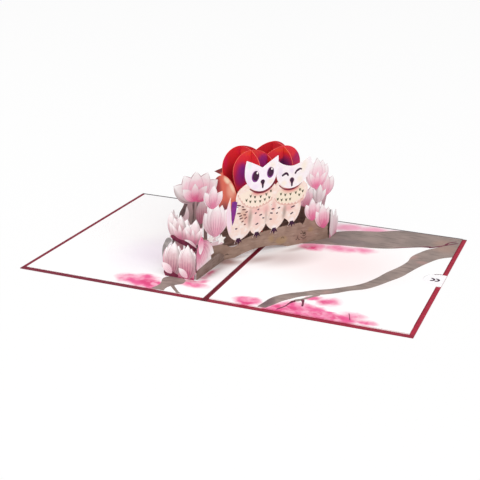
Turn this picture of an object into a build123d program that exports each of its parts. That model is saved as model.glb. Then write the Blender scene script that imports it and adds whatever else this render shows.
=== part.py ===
from build123d import *
import math
import os

# A pop up card, lying open flat, in millimetres.
# X runs across the fold, Y from the front edge to the back, Z up.
# The origin is under the middle of the fold, on the surface that the card lies on.

# Card, lining and paper
page_width = 127.0          # one page, from the fold to the side edge
page_depth = 177.8
border_side = 2.9           # red cover left showing beside the lining
border_front = 3.4          # the same at the front edge
border_back = 1.2           # and at the back edge, where the lining almost covers it
fold_strip = 3.2            # red cover left showing between the two linings
cover_thick = 0.45
liner_thick = 0.30
note_thick = 0.35
note_clearance = 0.10       # the note card slides freely in its pocket
sheet_thick = 0.40          # the cut sheets that stand up
slot_clearance = 0.10       # added to a slot or slit, over the sheet it takes
score_width = 0.8
score_depth = 0.12

# Note card and its pocket
note_width = 98.0
note_depth = 148.0
note_end_gap = 8.0          # from the right edge of the note card to the edge of the page
tab_radius = 10.3
tab_centre_y = 2.3
tab_inset = 2.5             # from the tab's centre to the edge of the page
notch_clearance = 0.5       # the lining's round notch, over the tab

# The two families of upright sheets. The long ones run at this angle from the X axis.
long_angle = 54.0
front_wall_n = 1.0          # each long sheet is placed by its distance towards the viewer
rear_wall_n = -19.25
slice_spacing = 13.5        # between the heart's two long slices
rib_spacing = 13.0
side_wall_foot = (-16.2, -61.6)

# Branch walls
arch_height = 3.3           # clearance of the front wall over the fold
arch_start = -17.0
arch_end = 26.0
wall_left = -44.0
wall_right = 61.6
wall_post = 21.0            # height of the thin post at the right end
crease_u = -25.2            # where the side wall leaves the front wall
side_wall_height = 5.4      # at the front corner
side_wall_peak = (27.0, 7.2)
side_wall_end = 3.0         # and at the crease
rear_wall_left = -16.0
rear_wall_right = 57.4
rear_wall_height = 21.0
rear_arch_height = 2.0
rear_arch_start = 21.0
rear_arch_end = 41.0
rear_slot_bottom = 13.0     # the ribs sit in slots in the rear wall, down to this height
leg_bottom = 6.5            # and their legs reach down past it
end_panel_length = 15.0
join_gap = 0.05             # between the edge of a sheet and the face that it is glued to

# Blossom panels
left_group_right = -17.2    # the left group lies between these two, across the card
left_group_left = -39.6
front_group_y = -62.5
middle_group_y = -50.0
group_clearance = 0.6
tall_left_n = -14.0
tall_right_n = -7.5

# Feet of the upright sheets, which go through slits in the lining
foot_width = 6.0

# Heart
heart_centre = 16.0
heart_half_width = 27.0
heart_top = 67.3
heart_notch = 63.0
heart_widest = 52.0
heart_bottom = 17.0
rib_half_depth = 18.2
rib_crown = 0.5             # a rib rises this much over the heart between the two slices
rib_shoulder = 3.6          # its drop at seven tenths of its half depth
rib_waist = 14.5            # and where it is deepest
rib_low = 21.0
leg_half_width = 3.6
lobe_middle = 14.0          # from the heart's middle to the top of a lobe

# Worked out from the sizes above
left_top = cover_thick + liner_thick
pocket_height = note_thick + note_clearance
right_top = cover_thick + pocket_height + liner_thick
liner_width = page_width - border_side - fold_strip / 2
liner_depth = page_depth - border_front - border_back
liner_y = (border_front - border_back) / 2
liner_middle = fold_strip / 2 + liner_width / 2
tab_centre_x = page_width - tab_inset
note_right = page_width - note_end_gap
heart_middle_n = rear_wall_n
heart_front_n = heart_middle_n + slice_spacing / 2
heart_back_n = heart_middle_n - slice_spacing / 2
rib_places = [heart_centre + rib_spacing * i for i in (-2, -1, 0, 1, 2)]
slot_width = sheet_thick + slot_clearance

os.makedirs("parts", exist_ok=True)


def upright(origin, angle):
    """A vertical plane through a point of the page: x along the sheet, y up from the page."""
    along = Vector(math.cos(math.radians(angle)), math.sin(math.radians(angle)), 0)
    return Plane(origin=(origin[0], origin[1], right_top), x_dir=along, z_dir=along.cross(Vector(0, 0, 1)))


def long_plane(n):
    a = math.radians(long_angle)
    return upright((n * math.sin(a), -n * math.cos(a)), long_angle)


def rib_plane(u):
    """Across the long sheets. x runs towards the viewer, so it reads as n."""
    a = math.radians(long_angle)
    return upright((u * math.cos(a), u * math.sin(a)), long_angle - 90)


def run_on(arc, *points):
    """Arcs from the end of an arc through more points, each tangent to the one before."""
    arcs = [arc]
    for point in points:
        arcs.append(TangentArc(arcs[-1] @ 1, point, tangent=arcs[-1] % 1))
    return arcs


def outline(*stretches):
    """A closed face: two points make a line, three an arc, and more a run of tangent arcs."""
    edges = []
    for points in stretches:
        if len(points) == 2:
            edges.append(Line(*points))
        else:
            edges += run_on(ThreePointArc(*points[:3]), *points[3:])
    return make_face(edges)


def box_face(x0, x1, y0, y1):
    return Pos((x0 + x1) / 2, (y0 + y1) / 2) * Rectangle(x1 - x0, y1 - y0)


def cut_sheet(plane, face, thick=sheet_thick):
    """A sheet centred on its plane."""
    return extrude(plane * face, amount=thick / 2, both=True)


def save(shape, node):
    solids = shape.solids()
    print(node, len(solids), round(sum(s.volume for s in solids), 2))
    export_step(solids[0] if len(solids) == 1 else Compound(solids), "parts/" + node + ".step")


# Petals, flowers and leaves, drawn flat in a sheet's own plane

def petal(length, width, turn, x=0.0, y=0.0):
    """A pointed oval that starts at a point and leans from upright by some degrees."""
    half = outline(
        ((0, 0), (-width / 2, length * 0.45), (0, length)),
        ((0, length), (width / 2, length * 0.45), (0, 0)),
    )
    return Pos(x, y) * Rot(0, 0, turn) * half


def flower(x, y, size, lean=0.0, spread=38.0, petals=5, drop=0.16, wide=0.41):
    """A cup of petals that fan out of one point. The outer ones are shorter by the drop."""
    face = petal(size, size * wide, lean, x, y)
    middle = (petals - 1) / 2
    for i in range(petals):
        if i == middle:
            continue
        step = (i - middle) / middle
        length = size * (1.0 - drop * abs(step))
        face += petal(length, size * wide, lean - spread * step, x, y)
    return face


def small_blossom(x, y, size):
    """An open blossom of five pointed petals, seen from the front."""
    tips = []
    for k in range(10):
        r = size / 2 if k % 2 == 0 else size / 4
        a = math.radians(90 + 36 * k)
        tips.append((x + r * math.cos(a), y + r * math.sin(a)))
    return make_face(Polyline(*tips, close=True))


def twig(x0, y0, x1, y1, width):
    length = math.hypot(x1 - x0, y1 - y0)
    turn = math.degrees(math.atan2(y1 - y0, x1 - x0))
    return Pos((x0 + x1) / 2, (y0 + y1) / 2) * Rot(0, 0, turn) * Rectangle(length, width)


# Where each foot goes through the lining: plan position, angle and page side

feet = []


def feet_on(plane, angle, places):
    """The feet of one sheet, as a face below its lower edge, and their slits."""
    face = None
    for x in places:
        spot = plane.from_local_coords(Vector(x, 0, 0))
        under = cover_thick if spot.X < 0 else right_top - liner_thick
        tongue = box_face(x - foot_width / 2, x + foot_width / 2, under - right_top, 0.5)
        face = tongue if face is None else face + tongue
        feet.append((spot.X, spot.Y, angle))
    return face


def page_edge(plane, x):
    """Height of the page under a point of a sheet, in the sheet's own y."""
    return (left_top if plane.from_local_coords(Vector(x, 0, 0)).X < 0 else right_top) - right_top


# Cover: one sheet, scored along the fold

def make_cover():
    sheet = Pos(0, 0, cover_thick / 2) * Box(2 * page_width, page_depth, cover_thick)
    score = Pos(0, 0, cover_thick) * Box(score_width, page_depth, 2 * score_depth)
    return sheet - score


def cut_slits(liner, side):
    for x, y, angle in feet:
        if x * side > 0:
            slit = Box(foot_width + slot_clearance, slot_width, 4 * right_top)
            liner -= Pos(x, y, right_top) * Rot(0, 0, angle) * slit
    return liner


def make_liner_left():
    sheet = Box(liner_width, liner_depth, liner_thick)
    sheet = Pos(-liner_middle, liner_y, cover_thick + liner_thick / 2) * sheet
    return cut_slits(sheet, -1)


def make_liner_right():
    """Glued down along three sides, so that the fourth is the mouth of a pocket."""
    full = pocket_height + liner_thick
    sheet = Pos(liner_middle, liner_y, cover_thick + full / 2) * Box(liner_width, liner_depth, full)
    pocket_left = note_right - note_width - note_clearance
    pocket = Box(page_width - pocket_left, note_depth + 2 * note_clearance, pocket_height)
    pocket = Pos((page_width + pocket_left) / 2, 0, cover_thick + pocket_height / 2) * pocket
    notch = Cylinder(tab_radius + notch_clearance, 4 * full)
    notch = Pos(tab_centre_x, tab_centre_y, cover_thick) * notch
    return cut_slits(sheet - pocket - notch, 1)


def make_note_card():
    body = Pos(note_right - note_width / 2, 0, cover_thick + note_thick / 2)
    body *= Box(note_width, note_depth, note_thick)
    reach = Pos(tab_centre_x, tab_centre_y, cover_thick + note_thick / 2)
    tab = reach * Cylinder(tab_radius, note_thick)
    past = Pos(page_width + tab_radius, tab_centre_y, 0) * Box(2 * tab_radius, 4 * tab_radius, 4 * right_top)
    return body + (tab - past)


# Branch walls

def make_branch_front():
    plane = long_plane(front_wall_n)
    low_l = page_edge(plane, arch_start)
    crown = (arch_start + arch_end) / 2
    face = outline(
        ((wall_left, low_l), (arch_start, low_l)),
        ((arch_start, low_l), (crown, arch_height), (arch_end, 0)),
        ((arch_end, 0), (wall_right, 0)),
        ((wall_right, 0), (wall_right, wall_post)),
        ((wall_right, wall_post), (wall_right - 1.8, wall_post - 2.0), (wall_right - 2.6, 11.6)),
        ((wall_right - 2.6, 11.6), (50.0, 17.0), (40.2, 18.2)),
        ((40.2, 18.2), (39.4, 15.6), (37.6, 13.6)),
        ((37.6, 13.6), (36.6, 15.0), (34.6, 15.4)),
        ((34.6, 15.4), (25.0, 15.3), (14.0, 14.6)),
        ((14.0, 14.6), (2.0, 13.6), (-12.0, 10.8)),
        ((-12.0, 10.8), (-16.6, 7.4), (-23.0, 9.2)),
        ((-23.0, 9.2), (-34.0, 13.3), (wall_left, 19.6)),
        ((wall_left, 19.6), (wall_left, low_l)),
    )
    face += feet_on(plane, long_angle, (-39.0, -24.0, 35.0, 54.0))
    return cut_sheet(plane, face)


def make_branch_side():
    """The low wall from the crease to the front corner."""
    crease = long_plane(front_wall_n).from_local_coords(Vector(crease_u, 0, 0))
    dx = crease.X - side_wall_foot[0]
    dy = crease.Y - side_wall_foot[1]
    angle = math.degrees(math.atan2(dy, dx))
    meet = math.radians(angle - long_angle)
    length = math.hypot(dx, dy) - sheet_thick / 2 * (1 + math.cos(meet)) / math.sin(meet) - join_gap
    plane = upright(side_wall_foot, angle)
    low = left_top - right_top
    face = outline(
        ((0, low), (length, low)),
        ((length, low), (length, side_wall_end)),
        ((length, side_wall_end), (length - 5.0, 5.8), side_wall_peak),
        (side_wall_peak, (0, side_wall_height)),
        ((0, side_wall_height), (0, low)),
    )
    face += feet_on(plane, angle, (8.0, 30.0))
    return plane, cut_sheet(plane, face)


def make_branch_rear():
    plane = long_plane(rear_wall_n)
    low_l = page_edge(plane, rear_wall_left)
    low_r = page_edge(plane, rear_wall_right)
    crown = (rear_arch_start + rear_arch_end) / 2
    face = outline(
        ((rear_wall_left, low_l), (rear_arch_start, low_l)),
        ((rear_arch_start, low_l), (crown, rear_arch_height), (rear_arch_end, low_r)),
        ((rear_arch_end, low_r), (rear_wall_right, low_r)),
        ((rear_wall_right, low_r), (rear_wall_right, rear_wall_height + 3.0)),
        ((rear_wall_right, rear_wall_height + 3.0), (44.0, rear_wall_height + 1.4), (27.0, rear_wall_height)),
        ((27.0, rear_wall_height), (6.0, rear_wall_height - 0.6), (rear_wall_left, rear_wall_height - 3.6)),
        ((rear_wall_left, rear_wall_height - 3.6), (rear_wall_left, low_l)),
    )
    face += feet_on(plane, long_angle, (-9.0, 9.5, 48.5))
    for u in rib_places:
        face -= box_face(u - slot_width / 2, u + slot_width / 2, rear_slot_bottom, 2 * rear_wall_height)
    return cut_sheet(plane, face)


def make_branch_end():
    """The petal panel at the right end, parallel to the side wall."""
    corner = long_plane(front_wall_n).from_local_coords(Vector(wall_right, 0, 0))
    plane = upright((corner.X + sheet_thick, corner.Y - 1.0), 87.0)
    face = box_face(1.0, end_panel_length, 0, 4.0)
    face += petal(20.6, 8.2, 6.0, 4.2, 0.2)
    face += petal(18.5, 7.6, -14.0, 7.0, 0.2)
    face += petal(14.0, 6.6, -34.0, 9.0, 0.2)
    face += petal(11.0, 5.6, 24.0, 5.5, 0.2)
    face &= box_face(0.4, 2 * end_panel_length, 0, 30.0)
    face += feet_on(plane, 87.0, (8.0,))
    return cut_sheet(plane, face)


# Heart: two long slices and five ribs, half lapped

def heart_edge(u):
    """Height of the heart's top and bottom edge at a distance from its middle."""
    face = heart_face()
    cut = face & box_face(u - 0.05, u + 0.05, 0, 100)
    bounds = cut.bounding_box()
    return bounds.min.Y, bounds.max.Y


def heart_face():
    c = heart_centre
    crown = (c + lobe_middle, heart_top)
    inner = TangentArc((c + lobe_middle, heart_top), (c, heart_notch), tangent=(-1, 0))
    outer = run_on(
        TangentArc(crown, (c + heart_half_width, heart_widest), tangent=(1, 0)),
        (c, heart_bottom),
    )
    right = make_face([inner, *outer, Line((c, heart_bottom), (c, heart_notch))])
    return right + mirror(right, Plane(origin=(c, 0, 0), z_dir=(1, 0, 0)))


def rib_top(i):
    return heart_edge(rib_places[i])[1]


def rib_face(i):
    """A rib's outline, x along n and y up. The middle three stand on legs in the rear wall."""
    m = heart_middle_n
    r = rib_half_depth
    if i in (0, 4):
        leaf = outline(
            ((m - 17.0, 42.6), (m - 4.6, 48.4), (m + 9.6, 39.6)),
            ((m + 9.6, 39.6), (m + 6.4, 27.6), (m - 2.3, 17.0)),
            ((m - 2.3, 17.0), (m - 13.0, 27.6), (m - 17.0, 42.6)),
        )
        horn = ((m - 7.3, 46.4), (m - 7.5, 53.6), (m - 18.4, 48.2), (m - 9.6, 48.0))
        return leaf + make_face(Polyline(*horn, close=True))
    top = rib_top(i) + rib_crown
    low = rib_low if i != 2 else rib_low + 6.0
    side = run_on(
        TangentArc((m, top), (m + 0.7 * r, top - rib_shoulder), tangent=(1, 0)),
        (m + r, top - rib_waist),
        (m + leg_half_width, low),
    )
    half = make_face([*side, Line((m + leg_half_width, low), (m, low)), Line((m, low), (m, top))])
    whole = half + mirror(half, Plane(origin=(m, 0, 0), z_dir=(1, 0, 0)))
    return whole + box_face(m - leg_half_width, m + leg_half_width, leg_bottom, low + 8.0)


def lap_height(i):
    """Middle of the height that a rib and a long slice share: the slots meet there."""
    low, high = heart_edge(rib_places[i])
    n = heart_front_n
    strip = rib_face(i) & box_face(n - 0.05, n + 0.05, 0, 100)
    bounds = strip.bounding_box()
    return (max(low, bounds.min.Y) + min(high, bounds.max.Y)) / 2


def make_heart_slice(n):
    face = heart_face()
    for i, u in enumerate(rib_places):
        face -= box_face(u - slot_width / 2, u + slot_width / 2, 0, lap_heights[i])
    return cut_sheet(long_plane(n), face)


def make_heart_rib(i):
    face = rib_face(i)
    for n in (heart_front_n, heart_back_n):
        face -= box_face(n - slot_width / 2, n + slot_width / 2, lap_heights[i], 100)
    if i in (1, 2, 3):
        n = rear_wall_n
        face -= box_face(n - slot_width / 2, n + slot_width / 2, 0, rear_slot_bottom)
    return cut_sheet(rib_plane(rib_places[i]), face)


# Owls

def claw(u, z):
    """Three toes that lie over the branch."""
    toes = ((-1.3, 2.6), (-3.0, -1.2), (-1.0, 0.4), (0.0, -2.2), (1.0, 0.4), (3.0, -1.2), (1.3, 2.6))
    return Pos(u, z) * make_face(Polyline(*toes, close=True))


def owl_body_left_face():
    body = outline(
        ((-15.6, 45.6), (-8.0, 50.0), (0.0, 51.0)),
        ((0.0, 51.0), (8.0, 50.0), (13.4, 46.0)),
        ((13.4, 46.0), (14.2, 40.0), (11.0, 34.5)),
        ((11.0, 34.5), (9.2, 27.0), (6.4, 20.0)),
        ((6.4, 20.0), (3.0, 15.2), (-0.6, 13.4)),
        ((-0.6, 13.4), (-3.6, 14.4), (-5.8, 17.4)),
        ((-5.8, 17.4), (-9.6, 13.8), (-14.4, 11.6)),
        ((-14.4, 11.6), (-17.4, 13.6), (-19.2, 18.2)),
        ((-19.2, 18.2), (-18.4, 27.0), (-15.4, 34.6)),
        ((-15.4, 34.6), (-17.6, 40.0), (-15.6, 45.6)),
    )
    wing = outline(
        ((-21.6, 42.2), (-24.9, 29.0), (-22.4, 16.8)),
        ((-22.4, 16.8), (-19.0, 12.8), (-14.4, 11.6)),
        ((-14.4, 11.6), (-16.4, 18.0)),
        ((-16.4, 18.0), (-20.4, 28.0), (-21.6, 42.2)),
    )
    return body + wing + claw(-15.2, 10.6) + claw(-0.6, 12.6)


def owl_body_right_face():
    body = outline(
        ((12.6, 41.0), (15.0, 47.0), (21.0, 49.0)),
        ((21.0, 49.0), (31.0, 48.6), (38.6, 43.6)),
        ((38.6, 43.6), (40.4, 40.0), (39.0, 36.6)),
        ((39.0, 36.6), (38.4, 33.4), (35.0, 31.0)),
        ((35.0, 31.0), (34.4, 24.0), (30.4, 17.8)),
        ((30.4, 17.8), (28.0, 16.4), (25.6, 17.6)),
        ((25.6, 17.6), (24.0, 19.6), (21.8, 21.0)),
        ((21.8, 21.0), (18.4, 16.6), (13.8, 13.8)),
        ((13.8, 13.8), (9.2, 16.6), (6.4, 21.0)),
        ((6.4, 21.0), (9.0, 31.0), (12.6, 41.0)),
    )
    return body + claw(13.6, 13.0) + claw(28.0, 15.6)


def owl_head_left_face():
    return outline(
        ((-10.2, 65.2), (-3.6, 62.3), (2.4, 59.2)),
        ((2.4, 59.2), (8.0, 62.5), (14.4, 66.0)),
        ((14.4, 66.0), (14.5, 60.0), (13.2, 53.0)),
        ((13.2, 53.0), (9.2, 46.0), (1.4, 43.3)),
        ((1.4, 43.3), (-7.2, 47.0), (-11.4, 55.0)),
        ((-11.4, 55.0), (-11.3, 60.0), (-10.2, 65.2)),
    )


def owl_head_right_face():
    return outline(
        ((13.9, 62.6), (20.0, 58.7), (27.2, 57.2)),
        ((27.2, 57.2), (33.8, 58.9), (40.6, 62.4)),
        ((40.6, 62.4), (42.6, 58.0), (41.3, 52.5)),
        ((41.3, 52.5), (34.6, 44.4), (25.0, 41.8)),
        ((25.0, 41.8), (16.8, 45.8), (13.6, 54.0)),
        ((13.6, 54.0), (13.4, 58.5), (13.9, 62.6)),
    )


def make_owls():
    """Each sheet is glued on the one behind it, from the branch outwards."""
    layer = [front_wall_n + sheet_thick * k for k in (1, 2, 3)]
    save(cut_sheet(long_plane(layer[0]), owl_body_right_face()), "owl_body_right")
    save(cut_sheet(long_plane(layer[1]), owl_body_left_face()), "owl_body_left")
    save(cut_sheet(long_plane(layer[1]), owl_head_right_face()), "owl_head_right")
    save(cut_sheet(long_plane(layer[2]), owl_head_left_face()), "owl_head_left")


# Blossoms

def make_blossom_front_left():
    """Two tall closed flowers on the front edge of the left group."""
    plane = upright((side_wall_foot[0] - sheet_thick, front_group_y), 180.0)
    low = left_top - right_top
    face = box_face(1.0, 21.0, low, 4.4)
    face += flower(5.4, -0.4, 22.4, 0.0, 14.0, 5)
    face += flower(15.4, 0.4, 22.6, 3.0, 16.0, 5)
    face += petal(8.0, 4.4, -46.0, 5.6, 0.6)
    face += petal(9.0, 5.4, -46.0, 16.2, 2.0)
    face &= box_face(0.0, 40.0, low, 30.0)
    face += feet_on(plane, 0.0, (5.5, 17.0))
    return cut_sheet(plane, face)


def make_blossom_middle_left():
    plane = upright((left_group_right, middle_group_y), 180.0)
    low = left_top - right_top
    face = box_face(2.0, 21.5, low, 9.0)
    face += twig(4.2, 14.5, 22.4, 22.3, 2.8)
    face += flower(6.0, 17.8, 17.2, 4.0, 24.0, 3)
    face += flower(14.6, 18.6, 17.8, -2.0, 32.0, 5)
    face += petal(9.0, 4.2, -60.0, 4.6, 16.2)
    face += petal(17.0, 6.2, -4.0, 20.6, 21.0)
    face += twig(8.0, 4.0, 7.0, 18.0, 4.0)
    face += twig(16.0, 4.0, 15.2, 21.0, 4.0)
    face &= box_face(group_clearance, 40.0, low, 60.0)
    face += feet_on(plane, 0.0, (6.0, 17.0))
    return cut_sheet(plane, face)


def make_blossom_side_left():
    plane = upright((left_group_left, middle_group_y + group_clearance), 93.0)
    low = left_top - right_top
    face = box_face(0, 14.0, low, 6.0)
    face += twig(4.6, 4.0, 5.2, 22.0, 4.2)
    face += petal(18.0, 6.6, 2.0, 5.2, 19.5)
    face += petal(15.0, 5.6, -24.0, 4.8, 18.5)
    face += petal(20.0, 6.4, -8.0, 10.0, 3.6)
    face &= box_face(0, 40.0, low, 60.0)
    face += feet_on(plane, 93.0, (8.0,))
    return cut_sheet(plane, face)


def make_blossom_corner_left(plane):
    """A flower that hangs over behind the side wall, glued to its inner face."""
    face = box_face(1.0, 20.0, 1.0, 6.0)
    face += flower(4.0, 21.8, 24.0, -148.0, 28.0, 5, 0.0)
    face += petal(11.0, 7.0, -12.0, 5.0, 15.0)
    face &= box_face(0, 40.0, 1.0, 40.0)
    return cut_sheet(plane.offset(-sheet_thick), face)


def make_blossom_low_left():
    plane = long_plane(front_wall_n + sheet_thick)
    face = flower(-32.6, 17.2, 22.8, 0.0, 26.0, 5)
    face += flower(-35.4, 36.6, 15.4, -4.0, 30.0, 3)
    face += twig(-33.4, 14.0, -35.2, 40.0, 2.2)
    face += small_blossom(-28.2, 14.4, 7.2)
    face += small_blossom(-36.2, 15.6, 5.8)
    face += box_face(-38.0, -27.0, 11.0, 13.4)
    return cut_sheet(plane, face)


def make_blossom_low_right():
    """Two flowers, glued on the front of the branch."""
    plane = long_plane(front_wall_n + sheet_thick)
    face = flower(45.8, 15.6, 16.0, 3.0, 24.0, 3)
    face += flower(56.0, 8.6, 17.8, 8.0, 22.0, 3)
    face &= box_face(30.0, wall_right - 1.2, 0, 60.0)
    return cut_sheet(plane, face)


def make_blossom_tall_left():
    plane = long_plane(tall_left_n)
    low = page_edge(plane, -40.0)
    face = flower(-38.6, 38.2, 19.4, 0.0, 54.0, 5, -0.04, 0.58)
    face += box_face(-46.5, -27.5, low, 5.0)
    face += twig(-43.6, 2.0, -42.0, 41.0, 5.4)
    face += twig(-36.2, 2.0, -35.2, 39.0, 5.0)
    face += twig(-30.6, 2.0, -31.2, 38.0, 2.6)
    face += twig(-43.8, 41.6, -50.2, 28.0, 2.6)
    face += petal(13.5, 4.6, 4.0, -45.6, 23.6)
    face += feet_on(plane, long_angle, (-40.5, -31.5))
    return cut_sheet(plane, face)


def make_blossom_tall_right():
    plane = long_plane(tall_right_n)
    face = box_face(48.0, 60.0, 0.0, 5.0)
    face += twig(53.0, 2.0, 55.4, 37.0, 3.6)
    face += twig(57.0, 2.0, 63.2, 31.0, 2.8)
    face += flower(55.4, 34.4, 22.4, 3.0, 27.0, 5)
    face += flower(63.0, 28.6, 17.4, 4.0, 26.0, 3, 0.16, 0.46)
    face += flower(56.6, 24.0, 13.6, -6.0, 28.0, 3)
    face += flower(47.6, 23.0, 17.0, 16.0, 28.0, 3)
    face += twig(52.4, 18.0, 47.6, 27.0, 2.0)
    face += feet_on(plane, long_angle, (54.0,))
    return cut_sheet(plane, face)


lap_heights = [lap_height(i) for i in range(len(rib_places))]

save(make_branch_front(), "branch_front")
side_plane, branch_side = make_branch_side()
save(branch_side, "branch_side")
save(make_branch_rear(), "branch_rear")
save(make_branch_end(), "branch_end")
save(make_heart_slice(heart_front_n), "heart_front")
save(make_heart_slice(heart_back_n), "heart_back")
for i in range(len(rib_places)):
    save(make_heart_rib(i), "heart_rib_" + str(i + 1))
make_owls()
save(make_blossom_front_left(), "blossom_front_left")
save(make_blossom_middle_left(), "blossom_middle_left")
save(make_blossom_side_left(), "blossom_side_left")
save(make_blossom_corner_left(side_plane), "blossom_corner_left")
save(make_blossom_low_left(), "blossom_low_left")
save(make_blossom_low_right(), "blossom_low_right")
save(make_blossom_tall_left(), "blossom_tall_left")
save(make_blossom_tall_right(), "blossom_tall_right")
save(make_cover(), "cover")
save(make_liner_left(), "liner_left")
save(make_liner_right(), "liner_right")
save(make_note_card(), "note_card")
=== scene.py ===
import math

import bpy
from mathutils import Matrix, Vector


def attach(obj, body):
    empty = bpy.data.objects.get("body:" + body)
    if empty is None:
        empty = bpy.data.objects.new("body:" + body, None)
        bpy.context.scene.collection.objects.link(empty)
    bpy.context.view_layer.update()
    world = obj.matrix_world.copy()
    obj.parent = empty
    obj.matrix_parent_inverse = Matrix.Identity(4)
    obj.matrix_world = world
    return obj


# A pop up card with two owls on a branch before a sliceform heart, lying open and flat.
# Every printed mark is a field of ink or a thin flat shape laid on its sheet.
# Sizes below are in millimetres, and MM turns them to metres.

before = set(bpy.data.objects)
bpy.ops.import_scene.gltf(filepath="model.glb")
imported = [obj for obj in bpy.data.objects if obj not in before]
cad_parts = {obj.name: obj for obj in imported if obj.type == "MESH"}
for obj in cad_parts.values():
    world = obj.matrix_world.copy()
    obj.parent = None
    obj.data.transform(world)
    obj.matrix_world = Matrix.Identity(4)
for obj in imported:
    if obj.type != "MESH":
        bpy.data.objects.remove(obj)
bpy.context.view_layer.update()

MM = 0.001
SHEET = 0.40             # thickness of the upright sheets
LONG_ANGLE = 54.0        # the long sheets run at this angle from the X axis
RIB_ANGLE = LONG_ANGLE - 90    # and the heart's ribs across them
SIDE_ANGLE = 86.0        # the side wall, as its prints are turned
END_ANGLE = 87.0         # the panel at the right end
OUTER_ANGLE = 93.0       # the panel at the far left
COVER = 0.45             # thickness of the red card
NOTE = 0.35              # and of the note card that lies on it
PAGE = 1.20              # height of the right page, which the upright sheets are measured from
LEFT_PAGE = 0.75         # and of the left one, which has no pocket
FRONT_N = 1.0            # the long sheets, by their distance towards the viewer: the branch wall,
TALL_LEFT_N = -14.0      # the tall flower on the left,
TALL_RIGHT_N = -7.5      # and the tall flowers on the right
WALL_END = 61.6          # right end of the branch wall, along it
WALL_CORNER = -25.2      # the crease where the side wall starts
ON = SHEET / 2           # the printed face of a sheet, from its middle
INK = 0.02               # how far the first petal stands off the paper
INK_STEP = 0.009         # and each petal laid over it
MARK = 0.03              # thickness of a printed mark on an upright sheet
THIN = 0.012             # and of a print on a page, or a soft shade
BACK_LINE = 86.2 * MM    # the dark line along the back edge of both linings starts here
FOLD_LINE = 2.2 * MM     # the dark red line along the fold ends here, on the right lining only

# The edges of each lining, as cuts: a point and the way out
RIGHT_LINING = ((124.1, 0, 1, 0), (1.7, 0, -1, 0), (0, -85.4, 0, -1), (0, 86.2, 0, 1))
LEFT_LINING = ((-1.7, 0, 1, 0), (-124.1, 0, -1, 0), (0, -85.4, 0, -1), (0, 86.2, 0, 1))


# Helpers for nodes

def to_linear(code):
    """sRGB hex to the linear colour that a shader takes."""
    values = []
    for i in (0, 2, 4):
        c = int(code[i:i + 2], 16) / 255
        values.append(c / 12.92 if c <= 0.04045 else ((c + 0.055) / 1.055) ** 2.4)
    return (*values, 1.0)


def add(tree, kind, inputs=None, **settings):
    """Adds one node with its settings. Each input is a number, a hex colour, a socket or a node to link."""
    node = tree.nodes.new(kind)
    for name, value in settings.items():
        setattr(node, name, value)
    for key, value in (inputs or {}).items():
        if isinstance(value, bpy.types.Node):
            value = value.outputs[0]
        if isinstance(value, str):
            value = to_linear(value)
        if isinstance(value, bpy.types.NodeSocket):
            tree.links.new(value, node.inputs[key])
        else:
            node.inputs[key].default_value = value
    return node


def new_material(name):
    material = bpy.data.materials.new(name)
    material.use_nodes = True
    material.node_tree.nodes.clear()
    return material, material.node_tree


def amount(tree, *factors):
    """How much ink lies on a place: its factors multiplied. (value, start, full) is a soft edge."""
    total = None
    for factor in factors:
        if isinstance(factor, tuple):
            value, start, full = factor
            factor = add(tree, "ShaderNodeMapRange", {"Value": value, "From Min": start, "From Max": full},
                         interpolation_type="SMOOTHSTEP")
        if total is None:
            total = factor
        else:
            total = add(tree, "ShaderNodeMath", {0: total, 1: factor}, operation="MULTIPLY")
    return total


def ink_over(tree, below, ink, *factors):
    """The colour below with a layer of ink on it, as strong as the amount of its factors."""
    colours = {0: amount(tree, *factors), 6: below, 7: ink}
    return add(tree, "ShaderNodeMix", colours, data_type="RGBA").outputs[2]


def finish_paper(tree, colour, roughness=0.62, grain=0.35, depth=0.10):
    """Uncoated card: matt, with a fine felt of fibres that only shows close to."""
    place = add(tree, "ShaderNodeTexCoord").outputs["Object"]
    fibre = add(tree, "ShaderNodeTexNoise", {"Vector": place, "Scale": 1 / (grain * MM), "Detail": 3.0})
    bump = add(tree, "ShaderNodeBump", {"Height": fibre, "Strength": depth, "Distance": 0.02 * MM})
    shader = add(tree, "ShaderNodeBsdfPrincipled", {
        "Base Color": colour, "Roughness": roughness, "IOR": 1.45, "Specular IOR Level": 0.3,
        "Normal": bump})
    add(tree, "ShaderNodeOutputMaterial", {"Surface": shader})


def on_page(tree):
    """Place on a page: x across, y to the back, height left out."""
    place = add(tree, "ShaderNodeTexCoord").outputs["Object"]
    return add(tree, "ShaderNodeVectorMath", {0: place, 1: (1, 1, 0)}, operation="MULTIPLY")


def on_sheet(tree, angle=LONG_ANGLE):
    """Place on an upright sheet: x along it, y up from the page."""
    place = add(tree, "ShaderNodeTexCoord").outputs["Object"]
    turned = add(tree, "ShaderNodeMapping", {
        "Vector": place, "Rotation": (0, 0, -math.radians(angle)), "Location": (0, 0, -PAGE * MM)})
    parts = add(tree, "ShaderNodeSeparateXYZ", {"Vector": turned})
    return add(tree, "ShaderNodeCombineXYZ", {"X": parts.outputs[0], "Y": parts.outputs[2]})


def wander(tree, place, size, reach):
    """The same place, moved about by a noise, so that an edge of ink runs unevenly."""
    noise = add(tree, "ShaderNodeTexNoise", {"Vector": place, "Scale": 1 / (size * MM), "Detail": 4.0})
    centred = add(tree, "ShaderNodeVectorMath", {0: noise.outputs[1], 1: (0.5, 0.5, 0.5)},
                  operation="SUBTRACT")
    moved = add(tree, "ShaderNodeVectorMath", {0: centred, "Scale": 2 * reach * MM}, operation="SCALE")
    both = add(tree, "ShaderNodeVectorMath", {0: place, 1: moved}, operation="ADD")
    return add(tree, "ShaderNodeVectorMath", {0: both, 1: (1, 1, 0)}, operation="MULTIPLY")


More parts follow.
